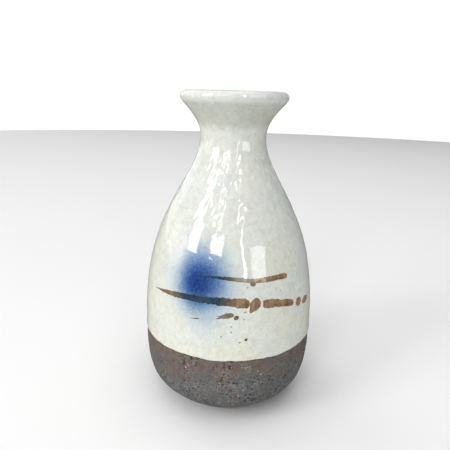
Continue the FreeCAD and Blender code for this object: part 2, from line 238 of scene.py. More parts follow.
# ------------------------------------------------------------------ node helpers
class Tree:
    def __init__(self, name):
        self.mat = bpy.data.materials.new(name)
        self.mat.use_nodes = True
        self.nt = self.mat.node_tree
        self.nt.nodes.clear()
        self.out = self.nt.nodes.new("ShaderNodeOutputMaterial")
        self.bsdf = self.nt.nodes.new("ShaderNodeBsdfPrincipled")
        self.nt.links.new(self.bsdf.outputs[0], self.out.inputs[0])
        self.place = self.nt.nodes.new("ShaderNodeTexCoord").outputs["Object"]

    def put(self, socket, value):
        if value is None:
            return
        if isinstance(value, bpy.types.NodeSocket):
            self.nt.links.new(value, socket)
        elif isinstance(value, (tuple, list)) and len(value) == 3 and socket.type == "RGBA":
            socket.default_value = (*value, 1.0)
        else:
            socket.default_value = value

    def math(self, op, a, b=None, c=None, clamp=False):
        n = self.nt.nodes.new("ShaderNodeMath")
        n.operation, n.use_clamp = op, clamp
        for i, v in enumerate((a, b, c)):
            self.put(n.inputs[i], v)
        return n.outputs[0]

    def xyz(self, v=None):
        n = self.nt.nodes.new("ShaderNodeSeparateXYZ")
        self.put(n.inputs[0], v or self.place)
        return n.outputs

    def join(self, x, y, z):
        n = self.nt.nodes.new("ShaderNodeCombineXYZ")
        for i, v in enumerate((x, y, z)):
            self.put(n.inputs[i], v)
        return n.outputs[0]

    def noise(self, scale, detail=2.0, rough=0.5, vector=None, distortion=0.0):
        n = self.nt.nodes.new("ShaderNodeTexNoise")
        self.put(n.inputs["Vector"], vector or self.place)
        n.inputs["Scale"].default_value = scale
        n.inputs["Detail"].default_value = detail
        n.inputs["Roughness"].default_value = rough
        n.inputs["Distortion"].default_value = distortion
        return n.outputs[0]

    def cells(self, scale, feature="F1", vector=None, out="Distance", random=1.0):
        n = self.nt.nodes.new("ShaderNodeTexVoronoi")
        n.feature = feature
        self.put(n.inputs["Vector"], vector or self.place)
        n.inputs["Scale"].default_value = scale
        n.inputs["Randomness"].default_value = random
        return n.outputs[out]

    def span(self, value, a, b, lo=0.0, hi=1.0, kind="SMOOTHSTEP"):
        n = self.nt.nodes.new("ShaderNodeMapRange")
        n.interpolation_type = kind
        n.clamp = True
        self.put(n.inputs["Value"], value)
        n.inputs["From Min"].default_value, n.inputs["From Max"].default_value = a, b
        n.inputs["To Min"].default_value, n.inputs["To Max"].default_value = lo, hi
        return n.outputs["Result"]

    def mix(self, fac, a, b, mode="MIX"):
        n = self.nt.nodes.new("ShaderNodeMix")
        n.data_type, n.blend_type = "RGBA", mode
        n.clamp_factor = True
        self.put(n.inputs[0], fac)
        self.put(n.inputs[6], a)
        self.put(n.inputs[7], b)
        return n.outputs[2]

    def attribute(self, name):
        n = self.nt.nodes.new("ShaderNodeAttribute")
        n.attribute_name = name
        return n.outputs["Fac"]

    def bump(self, height, strength, distance, normal=None):
        n = self.nt.nodes.new("ShaderNodeBump")
        n.inputs["Strength"].default_value = strength
        n.inputs["Distance"].default_value = distance
        self.put(n.inputs["Height"], height)
        if normal is not None:
            self.put(n.inputs["Normal"], normal)
        return n.outputs[0]

    # places on the bottle: mm round it from the front, and mm up it
    def unrolled(self):
        x, y, z = self.xyz()
        phi = self.math("ARCTAN2", x, self.math("MULTIPLY", y, -1.0))
        return self.math("MULTIPLY", phi, 37.0), self.math("MULTIPLY", z, 1000.0)

    def spot(self, u, v, at, spread, height, lean=0.0):
        """A soft round spot that falls off like a bell, lean being how far it tilts."""
        du = self.math("DIVIDE", self.math("SUBTRACT", u, at[0]), spread[0])
        dv = self.math("DIVIDE", self.math("SUBTRACT", v, at[1]), spread[1])
        q = self.math("ADD", self.math("MULTIPLY", du, du), self.math("MULTIPLY", dv, dv))
        if lean:
            q = self.math("ADD", q, self.math("MULTIPLY", self.math("MULTIPLY", du, dv), -2.0 * lean))
        e = self.math("EXPONENT", self.math("MULTIPLY", q, -0.5))
        return self.math("MULTIPLY", e, height)

    def bloom(self):
        """How much cobalt lies in the glaze: a soft cloud on the left of the front."""
        u, v = self.unrolled()
        wob = self.noise(190.0, 3.0, 0.55)
        wob2 = self.noise(150.0, 2.0, 0.5, vector=self.join(*[self.math("ADD", c, 0.31) for c in self.xyz()]))
        u = self.math("ADD", u, self.math("MULTIPLY", self.math("SUBTRACT", wob, 0.5), 2.2))
        v = self.math("ADD", v, self.math("MULTIPLY", self.math("SUBTRACT", wob2, 0.5), 2.0))
        d = self.spot(u, v, (-11.4, 64.6), (5.9, 6.4), 1.88)
        d = self.math("ADD", d, self.spot(u, v, (-15.5, 61.6), (2.8, 4.6), 0.50, -0.2))
        d = self.math("ADD", d, self.spot(u, v, (-8.6, 50.5), (5.6, 6.0), 0.10))
        grain = self.noise(1150.0, 2.0, 0.7)
        clouds = self.noise(420.0, 3.0, 0.6)
        d = self.math("MULTIPLY", d, self.span(grain, 0.28, 0.72, 0.80, 1.20, "LINEAR"))
        d = self.math("MULTIPLY", d, self.span(clouds, 0.28, 0.72, 0.94, 1.06, "LINEAR"))
        return d

    def stain(self, colour, density, k):
        """Colour seen through a stain of this density, absorbed by k per unit in red, green and blue."""
        n = self.nt.nodes.new("ShaderNodeCombineColor")
        for i in range(3):
            self.put(n.inputs[i], self.math("EXPONENT", self.math("MULTIPLY", density, -k[i])))
        return self.mix(1.0, colour, n.outputs[0], "MULTIPLY")


COBALT = (1.95, 1.36, 0.60)


def gloss_surface(t, fine=1.0):
    """The glaze's own skin: a little orange peel and pull, shared by the coat and the pigment under its gloss."""
    _, v = t.unrolled()
    up = t.math("DIVIDE", t.math("SUBTRACT", v, 96.0), 19.0)
    lumpy = t.math("MULTIPLY_ADD", t.math("EXPONENT", t.math("MULTIPLY", t.math("MULTIPLY", up, up), -1.0)), 0.88, 0.12)
    pull = t.math("MULTIPLY", t.math("SUBTRACT", t.noise(330.0, 0.0, 0.5), 0.5), lumpy)
    peel = t.noise(1100.0, 2.0, 0.5)
    b = t.bump(pull, 0.50 * fine, 0.00030)
    return t.bump(peel, 0.06 * fine, 0.00004, b)


def glaze_material(name, base, inside=False):
    t = Tree(name)
    u, v = t.unrolled()
    cloud = t.noise(48.0, 4.0, 0.6)
    cloud2 = t.noise(150.0, 4.0, 0.62, distortion=0.4)
    fine = t.noise(1150.0, 3.0, 0.65)
    cream = tuple(c * k for c, k in zip(base, (1.015, 1.005, 0.925)))
    cool = tuple(c * k for c, k in zip(base, (0.950, 0.985, 1.025)))
    col = t.mix(t.span(cloud, 0.36, 0.64), cool, cream)
    thin = tuple(c * k for c, k in zip(base, (0.930, 0.905, 0.850)))
    col = t.mix(t.span(cloud2, 0.50, 0.76, 0.0, 0.50), col, thin)
    patchy = t.noise(330.0, 3.0, 0.65, distortion=0.8)
    col = t.mix(t.span(patchy, 0.50, 0.68, 0.0, 0.80), col, tuple(c * k for c, k in zip(base, (0.87, 0.88, 0.86))))
    col = t.mix(t.span(patchy, 0.34, 0.48, 0.80, 0.0), col, tuple(c * 1.08 for c in base))
    col = t.mix(t.span(fine, 0.30, 0.70, 0.0, 0.26), col, tuple(c * 0.80 for c in base))
    curd = t.noise(620.0, 2.0, 0.6)
    col = t.mix(t.span(curd, 0.50, 0.68, 0.0, 0.55), col, t.mix(1.0, col, (0.90, 0.90, 0.895), "MULTIPLY"))
    # a few faint hairlines of crackle
    vein = t.cells(85.0, "DISTANCE_TO_EDGE", vector=warp(t, 160.0, 0.006))
    veins = t.math("MULTIPLY", t.span(vein, 0.0, 0.022, 1.0, 0.0), t.span(t.noise(40.0, 2.0, 0.5), 0.48, 0.60))
    col = t.mix(t.math("MULTIPLY", veins, 0.16), col, (0.46, 0.45, 0.40))
    # fine iron specks that came through from the clay
    speck = t.cells(330.0)
    pick = t.noise(70.0, 1.0, 0.5)
    speck = t.math("MULTIPLY", t.span(speck, 0.05, 0.13, 1.0, 0.0), t.span(pick, 0.55, 0.68))
    col = t.mix(t.math("MULTIPLY", speck, 0.42), col, (0.34, 0.27, 0.20))
    # lighter and creamier low down, lighter and cooler on the shoulder: partly painted light, partly a creamier and a
    # cooler tint
    col = t.mix(t.span(v, 44.0, 66.0), t.mix(1.0, col, (1.085, 1.075, 1.035), "MULTIPLY"), col)
    col = t.mix(t.span(v, 84.0, 104.0), col, t.mix(1.0, col, (1.03, 1.03, 1.06), "MULTIPLY"))
    # painted shade: under the lip's overhang, from about 120 to 132 mm up, the coat is darkened to an olive grey where
    # shade falls; the band's lower edge wanders
    wave = t.math("MULTIPLY", t.math("SUBTRACT", t.noise(90.0, 2.0, 0.5), 0.5), 5.0)
    vw = t.math("ADD", v, wave)
    under_lip_shade = t.math("MULTIPLY", t.span(vw, 119.8, 124.2), t.span(v, 130.6, 132.6, 1.0, 0.0))
    if not inside:
        col = t.mix(under_lip_shade, col, t.mix(1.0, col, (0.780, 0.780, 0.728), "MULTIPLY"))
    # a touch darker over the lip band, partly painted shade
    col = t.mix(t.span(v, 131.0, 133.4), col, t.mix(1.0, col, (0.99, 0.99, 0.985), "MULTIPLY"))
    if not inside:
        # the coat thins and warms just above its lower edge, where the clay shows through it
        ledge = t.noise(420.0, 3.0, 0.6)
        edge = t.math("ADD", v, t.math("MULTIPLY", t.math("SUBTRACT", ledge, 0.5), -0.9))
        col = t.mix(t.span(edge, 32.45, 33.15, 0.50, 0.0), col, (0.50, 0.40, 0.31))
        col = t.stain(col, t.bloom(), COBALT)
    t.put(t.bsdf.inputs["Base Color"], col)
    t.put(t.bsdf.inputs["Roughness"], t.span(t.noise(300.0, 3.0, 0.6), 0.3, 0.7, 0.022, 0.045))
    t.bsdf.inputs["IOR"].default_value = 1.5
    t.put(t.bsdf.inputs["Normal"], gloss_surface(t))
    return t.mat


def clay_material():
    t = Tree("bare_speckled_stoneware")
    u, v = t.unrolled()
    patch = t.noise(95.0, 4.0, 0.6, distortion=0.6)
    # more of the reddish skin near the glaze line and on the left, greyer towards the foot
    lift = t.span(v, 8.0, 33.0, -0.17, 0.13, "LINEAR")
    side = t.span(u, -42.0, 24.0, 0.11, -0.06, "LINEAR")
    red = t.span(t.math("ADD", t.math("ADD", patch, lift), side), 0.46, 0.60)
    grain = t.noise(1500.0, 4.0, 0.75)
    coarse = t.noise(560.0, 3.0, 0.65)
    col = t.mix(red, (0.124, 0.124, 0.125), (0.158, 0.098, 0.072))
    col = t.mix(t.span(coarse, 0.40, 0.62, 0.0, 0.60), col, (0.190, 0.182, 0.172))
    col = t.mix(t.span(grain, 0.35, 0.62, 0.55, 0.0), col, (0.070, 0.064, 0.060))
    # the open, gritty part low on the front, and looser patches of it elsewhere
    low = t.span(v, 6.0, 26.0, 1.0, 0.0, "LINEAR")
    grit = t.span(t.math("ADD", t.noise(85.0, 3.0, 0.6), t.math("MULTIPLY", low, 0.16)), 0.44, 0.62)
    # pale threads of feldspar between the dark grains
    thread = t.cells(540.0, "DISTANCE_TO_EDGE", vector=warp(t, 420.0, 0.0018))
    col = t.mix(t.math("MULTIPLY", t.math("MULTIPLY", t.span(thread, 0.02, 0.13, 1.0, 0.0), t.math("MULTIPLY", grit, t.span(t.noise(500.0, 2.0, 0.6), 0.42, 0.58))), 0.60), col, (0.290, 0.296, 0.296))
    # dark iron grains, close together where the body is gritty
    spots = t.cells(600.0, vector=warp(t, 700.0, 0.0009))
    size = t.math("ADD", t.span(t.noise(150.0, 3.0, 0.6), 0.38, 0.66, 0.05, 0.35, "LINEAR"), t.math("MULTIPLY", grit, 0.13))
    dark = t.span(t.math("SUBTRACT", spots, size), -0.06, 0.06, 1.0, 0.0)
    col = t.mix(t.math("MULTIPLY", dark, 0.90), col, (0.018, 0.026, 0.027))
    small = t.span(t.math("SUBTRACT", t.cells(950.0), t.span(t.noise(240.0, 2.0, 0.5), 0.42, 0.66, 0.04, 0.36, "LINEAR")), -0.06, 0.07, 1.0, 0.0)
    col = t.mix(t.math("MULTIPLY", small, 0.62), col, (0.034, 0.035, 0.036))
    # a few pale flecks
    fleck = t.math("MULTIPLY", t.span(t.cells(260.0, vector=warp(t, 500.0, 0.0006)), 0.06, 0.12, 1.0, 0.0), t.span(t.noise(75.0, 1.0, 0.5), 0.50, 0.62))
    col = t.mix(t.math("MULTIPLY", fleck, 0.85), col, (0.55, 0.50, 0.44))
    # painted shade: a dark line on the clay just under the glaze's edge, where the coat's step shades it
    glaze_edge_shade = t.span(t.math("ADD", v, t.math("MULTIPLY", t.math("SUBTRACT", coarse, 0.5), 0.8)), 31.6, 32.6, 0.0, 0.45)
    col = t.mix(glaze_edge_shade, col, (0.105, 0.068, 0.050))
    t.put(t.bsdf.inputs["Base Color"], col)
    rough = t.span(coarse, 0.3, 0.7, 0.66, 0.86, "LINEAR")
    t.put(t.bsdf.inputs["Roughness"], t.math("SUBTRACT", rough, t.math("MULTIPLY", dark, 0.18)))
    t.bsdf.inputs["Specular IOR Level"].default_value = 0.42
    b = t.bump(coarse, 0.45, 0.00028)
    b = t.bump(grain, 0.55, 0.00012, b)
    b = t.bump(dark, -0.35, 0.00012, b)
    t.put(t.bsdf.inputs["Normal"], b)
    return t.mat


def warp(t, scale, amount):
    x, y, z = t.xyz()
    n = t.nt.nodes.new("ShaderNodeTexNoise")
    t.put(n.inputs["Vector"], t.place)
    n.inputs["Scale"].default_value = scale
    n.inputs["Detail"].default_value = 2.0
    s = t.nt.nodes.new("ShaderNodeSeparateColor")
    t.put(s.inputs[0], n.outputs["Color"])
    return t.join(*[t.math("ADD", c, t.math("MULTIPLY", t.math("SUBTRACT", s.outputs[i], 0.5), amount)) for i, c in enumerate((x, y, z))])


def pigment_material():
    t = Tree("iron_brush_pigment")
    rim = t.attribute("rim")        # 0 inside a mark, 1 at its border
    dark = t.attribute("dark")      # how loaded the brush was
    u, v = t.unrolled()
    pool = t.noise(330.0, 4.0, 0.65)
    streak = t.noise(1.0, 3.0, 0.6, vector=t.join(t.math("MULTIPLY", u, 0.95), t.math("MULTIPLY", v, 0.30), 3.0))
    fine = t.noise(1300.0, 3.0, 0.7)
    col = t.mix(t.span(pool, 0.36, 0.64), (0.405, 0.262, 0.155), (0.220, 0.134, 0.075))
    col = t.mix(t.span(streak, 0.50, 0.70, 0.0, 0.62), col, (0.128, 0.070, 0.036))
    col = t.mix(t.span(streak, 0.30, 0.44, 0.40, 0.0), col, (0.400, 0.280, 0.170))
    col = t.mix(t.span(fine, 0.38, 0.66, 0.0, 0.40), col, (0.135, 0.075, 0.042))
    # washed out to an olive grey where the brush ran dry
    dry = t.math("ADD", t.spot(u, v, (2.0, 66.6), (8.0, 1.6), 0.75), t.spot(u, v, (-2.4, 51.6), (2.6, 1.6), 0.42))
    dry = t.math("MULTIPLY", dry, t.span(pool, 0.30, 0.60, 0.65, 1.25, "LINEAR"))
    col = t.mix(dry, col, (0.365, 0.345, 0.280))
    cold = t.spot(u, v, (-13.4, 49.5), (3.5, 1.2), 0.85)
    col = t.mix(cold, col, (0.215, 0.265, 0.275))
    col = t.mix(t.span(rim, 0.45, 1.0, 0.0, 0.50), col, (0.150, 0.080, 0.044))
    col = t.mix(t.math("MULTIPLY", dark, 0.9, clamp=True), col, (0.100, 0.052, 0.030))
    # over the cobalt the brown turns a dark blue-green
    b = t.bloom()
    col = t.mix(t.span(b, 0.015, 0.160, 0.0, 0.80, "LINEAR"), col, t.mix(t.span(pool, 0.36, 0.64), (0.128, 0.122, 0.090), (0.075, 0.070, 0.052)))
    amount = t.span(b, 0.06, 0.55, 0.0, 0.97, "SMOOTHSTEP")
    teal = t.mix(t.span(pool, 0.36, 0.66), (0.020, 0.056, 0.086), (0.009, 0.030, 0.056))
    teal = t.mix(t.span(fine, 0.45, 0.72, 0.0, 0.30), teal, (0.105, 0.105, 0.095))
    col = t.mix(amount, col, teal)
    t.put(t.bsdf.inputs["Base Color"], col)
    t.put(t.bsdf.inputs["Roughness"], t.span(pool, 0.3, 0.7, 0.06, 0.13))
    t.bsdf.inputs["IOR"].default_value = 1.5
    t.put(t.bsdf.inputs["Normal"], gloss_surface(t))
    return t.mat


GLAZE = glaze_material("white_glaze_coat", (0.730, 0.744, 0.698))
LINING = glaze_material("white_glaze_lining", (0.722, 0.736, 0.688), inside=True)
CLAY = clay_material()
PIGMENT = pigment_material()


# ------------------------------------------------------------------ the glaze coat
def coat_outline():
    rows = []
    s = [T_EDGE + 1e-4]
    step = 0.12
    while s[-1] < T_MEET:
        if s[-1] > T_EDGE + 1.6:
            step = 0.62
        if s[-1] > where_z(128.0, 0, T_RIM):
            step = 0.42
        s.append(s[-1] + step)
    s = np.array(s[:-1] + [T_MEET - 0.06, T_MEET - 0.015, T_MEET])
    p, n, th = clay_at(s), normals(clay_at, s), coat_thickness(s)
    o = p + n * th[:, None]
    for i in range(len(s)):
        rise = o[i, 1] - COAT_EDGE_Z if s[i] < T_RIM else 99
        w = float(smooth(rise / 1.6)) if rise < 1.6 else 1.0
        if s[i] > T_RIM:
            w = float(smooth((T_MEET - s[i]) / 1.5))
        rows.append((o[i, 0], o[i, 1], n[i, 0], n[i, 1], w))
    back = np.linspace(T_MEET, T_EDGE + 0.3, 58)
    p, n = clay_at(back), normals(clay_at, back)
    for i in range(len(back)):
        rows.append((p[i, 0] + n[i, 0] * 0.05, p[i, 1] + n[i, 1] * 0.05, n[i, 0], n[i, 1], 0.0))
    return rows


def drawn_edge(ob):
    """The glaze line wanders a little, as a dipped edge does."""
    me = ob.data
    co = np.empty(len(me.vertices) * 3, np.float32)
    me.vertices.foreach_get("co", co)
    co = co.reshape(-1, 3).astype(float)
    z = co[:, 2] / MM
    r = np.hypot(co[:, 0], co[:, 1]) / MM
    k = (z < 35.2) & (r > 30)
    phi = np.arctan2(co[:, 0], -co[:, 1])
    rng = np.random.RandomState(5)
    d = np.zeros(len(z))
    for _ in range(22):
        m = rng.randint(2, 90)
        d += 0.11 / (1 + m / 14) * math.sqrt(rng.uniform(0.2, 1)) * np.cos(m * phi + rng.uniform(0, 6.28))
    # two small nicks in the edge
    d += 0.30 * np.exp(-(((phi - math.radians(-17.6)) / math.radians(1.6)) ** 2)) * np.sign(1)
    d += 0.34 * np.exp(-(((phi - math.radians(1.6)) / math.radians(1.3)) ** 2))
    fall = 1 - smooth((z - COAT_EDGE_Z) / 2.6)
    co[k, 2] += (np.clip(d, -0.45, 0.5) * fall)[k] * MM
    me.vertices.foreach_set("co", co.reshape(-1).astype(np.float32))
    me.update()


glaze_coat = turned("glaze_coat", coat_outline(), 320, GLAZE, closed=True, shift=ripple)
drawn_edge(glaze_coat)
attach(glaze_coat, "root")
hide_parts("outer_glaze")


# ------------------------------------------------------------------ the lining
def lining_outline():
    s = np.concatenate([[T_MEET, T_MEET + 0.015], np.linspace(T_MEET + 0.06, where_z(110, T_RIM, T_END), 44), np.linspace(where_z(110, T_RIM, T_END), T_END, 60)[1:]])
    p, n = clay_at(s), normals(clay_at, s)
    rows = [(0.0, 0.0, 0, 0, 0)][:0]
    inner = p + n * LINING_T
    # from the axis on the floor, out and up the lining, over the meeting line, and back down against the clay
    rows.append((0.4, FLOOR_Z + LINING_T, 0, 1, 0))
    rows.append((3.0, FLOOR_Z + LINING_T, 0, 1, 0))
    rows.append((6.0, FLOOR_Z + LINING_T, 0, 1, 0))
    for i in range(len(s) - 1, -1, -1):
        w = float(smooth((s[i] - T_MEET) / 2.0)) * float(smooth((T_END - s[i]) / 4.0))
        rows.append((inner[i, 0], inner[i, 1], n[i, 0], n[i, 1], w))
    for i in range(0, len(s), 2):
        rows.append((p[i, 0] + n[i, 0] * 0.04, p[i, 1] + n[i, 1] * 0.04, n[i, 0], n[i, 1], 0))
    rows.append((4.0, FLOOR_Z + 0.04, 0, 1, 0))
    rows.append((0.4, FLOOR_Z + 0.04, 0, 1, 0))
    return rows


glaze_lining = turned("glaze_lining", lining_outline(), 160, LINING, closed=False, shift=lambda phi, z: ripple(phi + 1.0, z) + 0.125)
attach(glaze_lining, "root")
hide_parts("inner_glaze")


# ------------------------------------------------------------------ the clay
_rngc = np.random.RandomState(23)
CLAY_WAVES = [(_rngc.randint(0, 9), 2 * math.pi / _rngc.uniform(2.2, 12.0), _rngc.uniform(0, 6.28), _rngc.uniform(0.006, 0.02)) for _ in range(16)]
GRIT = [(_rngc.uniform(-math.pi, math.pi), _rngc.uniform(1.0, 31.5), _rngc.uniform(0.45, 1.0), _rngc.uniform(-0.10, 0.035)) for _ in range(1500)]


def clay_shift(phi, z):
    """Wheel marks and grit in the bare clay: pits, and a few grains that barely stand up."""
    d = np.zeros(np.broadcast(phi, z).shape)
    for m, k, p, a in CLAY_WAVES:
        d += a * np.cos(m * phi + k * z + p)
    zr = z[:, 0]
    cols = phi.shape[1]
    for a, zc, size, h in GRIT:
        i = np.where(np.abs(zr - zc) < 1.6 * size)[0]
        if not len(i):
            continue
        j0 = int((a % (2 * math.pi)) / (2 * math.pi) * cols)
        j = np.arange(j0 - 6, j0 + 7) % cols
        dphi = (phi[0, j] - a + math.pi) % (2 * math.pi) - math.pi
        rr = ((zr[i, None] - zc) / size) ** 2 + (dphi[None, :] * 36.0 / size) ** 2
        d[np.ix_(i, j)] += h * np.exp(-2.2 * rr)
    return np.clip(d, -0.15, 0.03) - 0.03


def clay_outline():
    rows = []
    # underside, from the axis outwards: turned recess, foot ring, heel
    for r in (0.4, 1.6, 3.2, 5.0, 7.0, 9.0, 11.0, 13.0, 14.6, 15.8):
        turn = 0.05 * math.sin(r * 2.1)
        rows.append((r, 1.6 + turn - 0.05, 0, -1, 0))
    under = [(16.6, 1.6), (17.3, 1.575), (18.2, 1.48), (18.75, 1.28), (19.15, 1.0), (19.45, 0.65), (19.6, 0.35), (19.68, 0.16), (19.82, 0.04), (19.97, 0.0)]
    rows += [(r, z, 0, -1, 0) for r, z in under]
    rows += [(r, 0.0, 0, -1, 0) for r in (20.4, 20.9, 21.4, 21.9, 22.3, 22.6)]
    rows += [(22.86, 0.03, 0.5, -0.8, 0), (23.05, 0.12, 0.7, -0.7, 0)]
    s = np.concatenate([[0.0], np.arange(0.35, T_EDGE + 0.2, 0.44)])
    p, n = clay_at(s), normals(clay_at, np.maximum(s, 0.03))
    for i in range(len(s)):
        z = p[i, 1]
        w = float(smooth((z - 0.6) / 1.5)) * (1 - float(smooth((z - 31.6) / 0.9)))
        rows.append((p[i, 0], p[i, 1], n[i, 0], n[i, 1], w))
    # hidden under the glaze from here on, so plain and coarse
    s = np.linspace(T_EDGE + 0.8, T_END, 64)
    p = clay_at(s)
    rows += [(a, b, 0, 0, 0) for a, b in p]
    rows += [(4.0, FLOOR_Z, 0, 0, 0), (0.4, FLOOR_Z, 0, 0, 0)]
    return rows


stoneware = turned("stoneware", clay_outline(), 512, CLAY, closed=False, shift=clay_shift)
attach(stoneware, "root")
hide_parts("stoneware_body")


# ------------------------------------------------------------------ the brush marks
FILM = 0.055         # how far the pigment stands above the coat
SUNK = 0.06          # how far its underside is sunk into the coat


def film(name, patches, replaces):
    """One piece from closed thin patches, each (grid of angle and height, rim 0..1, dark 0..1)."""
    verts, faces, rim_all, dark_all = [], [], [], []
    for phi, z, rim, dark, wrap in patches:
        rows, cols = phi.shape
        lift = FILM * np.sqrt(np.clip(1 - np.clip(rim, 0, 1) ** 6, 0, 1))
        top = coat_point(phi, z, lift - 0.004)
        low = coat_point(phi, z, -SUNK + 0 * lift)
        start = len(verts)
        verts += top.reshape(-1, 3).tolist() + low.reshape(-1, 3).tolist()
        rim_all += np.concatenate([rim.ravel(), rim.ravel()]).tolist()
        dark_all += np.concatenate([dark.ravel(), dark.ravel()]).tolist()
        n = rows * cols

        def q(i, j, layer):
            return start + layer * n + i * cols + (j % cols if wrap else j)

        last = cols if wrap else cols - 1
        for i in range(rows - 1):
            for j in range(last):
                faces.append((q(i, j, 0), q(i + 1, j, 0), q(i + 1, j + 1, 0), q(i, j + 1, 0)))
                faces.append((q(i, j, 1), q(i, j + 1, 1), q(i + 1, j + 1, 1), q(i + 1, j, 1)))
        if wrap:
            for j in range(cols):       # border, then the middle is closed by a fan
                faces.append((q(rows - 1, j, 0), q(rows - 1, j, 1), q(rows - 1, j + 1, 1), q(rows - 1, j + 1, 0)))
            faces.append(tuple(q(0, j, 0) for j in range(cols)))
            faces.append(tuple(q(0, j, 1) for j in range(cols - 1, -1, -1)))
        else:
            for i in range(rows - 1):
                faces.append((q(i, 0, 0), q(i, 0, 1), q(i + 1, 0, 1), q(i + 1, 0, 0)))
                faces.append((q(i + 1, cols - 1, 0), q(i + 1, cols - 1, 1), q(i, cols - 1, 1), q(i, cols - 1, 0)))
            for j in range(cols - 1):
                faces.append((q(0, j + 1, 0), q(0, j + 1, 1), q(0, j, 1), q(0, j, 0)))
                faces.append((q(rows - 1, j, 0), q(rows - 1, j, 1), q(rows - 1, j + 1, 1), q(rows - 1, j + 1, 0)))
    ob = make_object(name, verts, faces, PIGMENT, {"rim": rim_all, "dark": dark_all})
    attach(ob, "root")
    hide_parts(replaces)
    return ob


def wander(s, seed, waves):
    """A smooth random line along s (mm), as a sum of seeded waves of (length, height)."""
    rng = np.random.RandomState(seed)
    out = np.zeros_like(s)
    for lam, a in waves:
        for _ in range(3):
            out += a * rng.uniform(0.3, 0.8) * np.cos(2 * math.pi * s / (lam * rng.uniform(0.75, 1.35)) + rng.uniform(0, 6.28))
    return out


def brushed(stations, seed, start_round, end_round, rough=0.10, dark=0.0, cols=17, scallop=0.0, fade=False):
    """A brush stroke from stations (angle, height, half width); its ends are rounded over these lengths in mm."""
    st = np.array(stations, float)
    along = np.concatenate([[0], np.cumsum(np.hypot(np.diff(np.radians(st[:, 0])) * 37.0, np.diff(st[:, 1])))])
    n = max(12, int(along[-1] / 0.22))
    s = np.linspace(0, along[-1], n)
    if start_round > 0:     # closer stations where an end is rounded
        s = np.concatenate([start_round * (1 - np.cos(np.linspace(0, math.pi / 2, 9)))[:-1], s[s > start_round]])
    if end_round > 0:
        s = np.concatenate([s[s < along[-1] - end_round], along[-1] - end_round * (1 - np.sin(np.linspace(0, math.pi / 2, 11)))])

    def line(values):
        at, t = natural_spline(np.stack([along, values], 1))
        g = at(np.linspace(0, t[-1], 600))
        return np.interp(s, g[:, 0], g[:, 1])

    a, z, w = line(st[:, 0]), line(st[:, 1]), np.maximum(line(st[:, 2]), 0.03)
    if start_round > 0:
        k = np.clip(1 - s / start_round, 0, 1)
        w = w * np.sqrt(np.maximum(1 - k * k, 0.0004))
    if end_round > 0:
        k = np.clip(1 - (along[-1] - s) / end_round, 0, 1)
        w = w * np.sqrt(np.maximum(1 - k * k, 0.0004))
    hi = wander(s, seed, ((5.5, 0.05), (1.9, 0.065), (0.9, 0.050)))
    lo = wander(s, seed + 50, ((5.0, 0.05), (1.7, 0.070), (0.8, 0.050)))
    swell, valley = np.zeros_like(s), np.zeros_like(s)
    if scallop:             # the lumps left by a brush dabbed along the stroke
        rngl = np.random.RandomState(seed + 70)
        at, marks = 0.4, []
        while at < along[-1]:
            marks.append(at)
            at += rngl.uniform(1.3, 3.4)
        for a0, b0 in zip(marks[:-1], marks[1:]):
            t = (s - a0) / (b0 - a0)
            k = (t >= 0) & (t <= 1)
            swell[k] = rngl.uniform(0.35, 1.0) * np.sqrt(np.maximum(1 - (2 * t[k] - 1) ** 2, 0))
            valley += rngl.uniform(0.2, 1.0) * np.exp(-(((s - b0) / 0.22) ** 2))
        grow = smooth((s - 0.30 * along[-1]) / (0.35 * along[-1])) if fade else 1.0
        hi = hi + grow * scallop * (swell - 0.5)
        lo = lo + grow * scallop * (np.roll(swell, 3) - 0.5)
    body = np.clip(w / 0.5, 0, 1)
    up = np.maximum(w + hi * body * rough * 10, 0.015)
    dn = np.maximum(w + lo * body * rough * 10, 0.015)
    c = np.linspace(-1, 1, cols)
    c = np.sign(c) * (1 - (1 - np.abs(c)) ** 1.5)
    zz = z[:, None] + np.where(c > 0, c * up[:, None], c * dn[:, None])
    aa = np.radians(a)[:, None] + 0 * c
    ends = np.ones(len(s)) * 0.0
    if end_round > 0:
        ends = np.maximum(ends, np.clip(1 - (along[-1] - s) / min(end_round, 0.5), 0, 1))
    if start_round > 0:
        ends = np.maximum(ends, np.clip(1 - s / min(start_round, 0.5), 0, 1))
    edge_mm = np.minimum(up, dn)[:, None] * (1 - np.abs(c))
    rim = np.clip(1 - edge_mm / 0.34, 0, 1)
    rim = np.maximum(rim, ends[:, None])
    dk = dark + 0.35 * wander(s, seed + 9, ((6.0, 0.5), (2.0, 0.3)))
    if scallop:
        dk = dk + 0.42 * valley
    dk = np.clip(dk, 0, 1)[:, None] + 0 * c
    return aa, zz, rim, dk, False


def dabbed(angle, z, half_w, half_h, seed, dark=0.0, rough=0.06, lean=0.0, bumps=(), cols=40):
    """A round mark: a leaning ellipse with an uneven border. bumps are (direction in degrees, reach, spread)."""
    th = np.linspace(0, 2 * math.pi, cols, endpoint=False)
    rng = np.random.RandomState(seed)
    r = np.ones(cols)
    for m in range(2, 9):
        r += rough * rng.uniform(0.2, 1.0) / m ** 0.6 * np.cos(m * th + rng.uniform(0, 6.28))
    for d, reach, spread in bumps:
        dd = (th - math.radians(d) + math.pi) % (2 * math.pi) - math.pi
        r += reach * np.exp(-((dd / math.radians(spread)) ** 2))
    rho = 1 - (1 - np.linspace(0.06, 1, 9)) ** 1.6
    x = half_w * rho[:, None] * (r * np.cos(th))[None, :]
    y = half_h * rho[:, None] * (r * np.sin(th))[None, :]
    cl, sl = math.cos(math.radians(lean)), math.sin(math.radians(lean))
    x, y = cl * x - sl * y, sl * x + cl * y
    radius = float(np.interp(z, _zo, _ro))
    phi = math.radians(angle) + x / radius
    zz = z + y
    edge = (1 - rho)[:, None] * min(half_w, half_h) + 0 * x
    rim = np.clip(1 - edge / min(0.34, 0.6 * min(half_w, half_h)), 0, 1)
    dk = np.clip(dark + 0 * x, 0, 1)
    return phi, zz, rim, dk, True


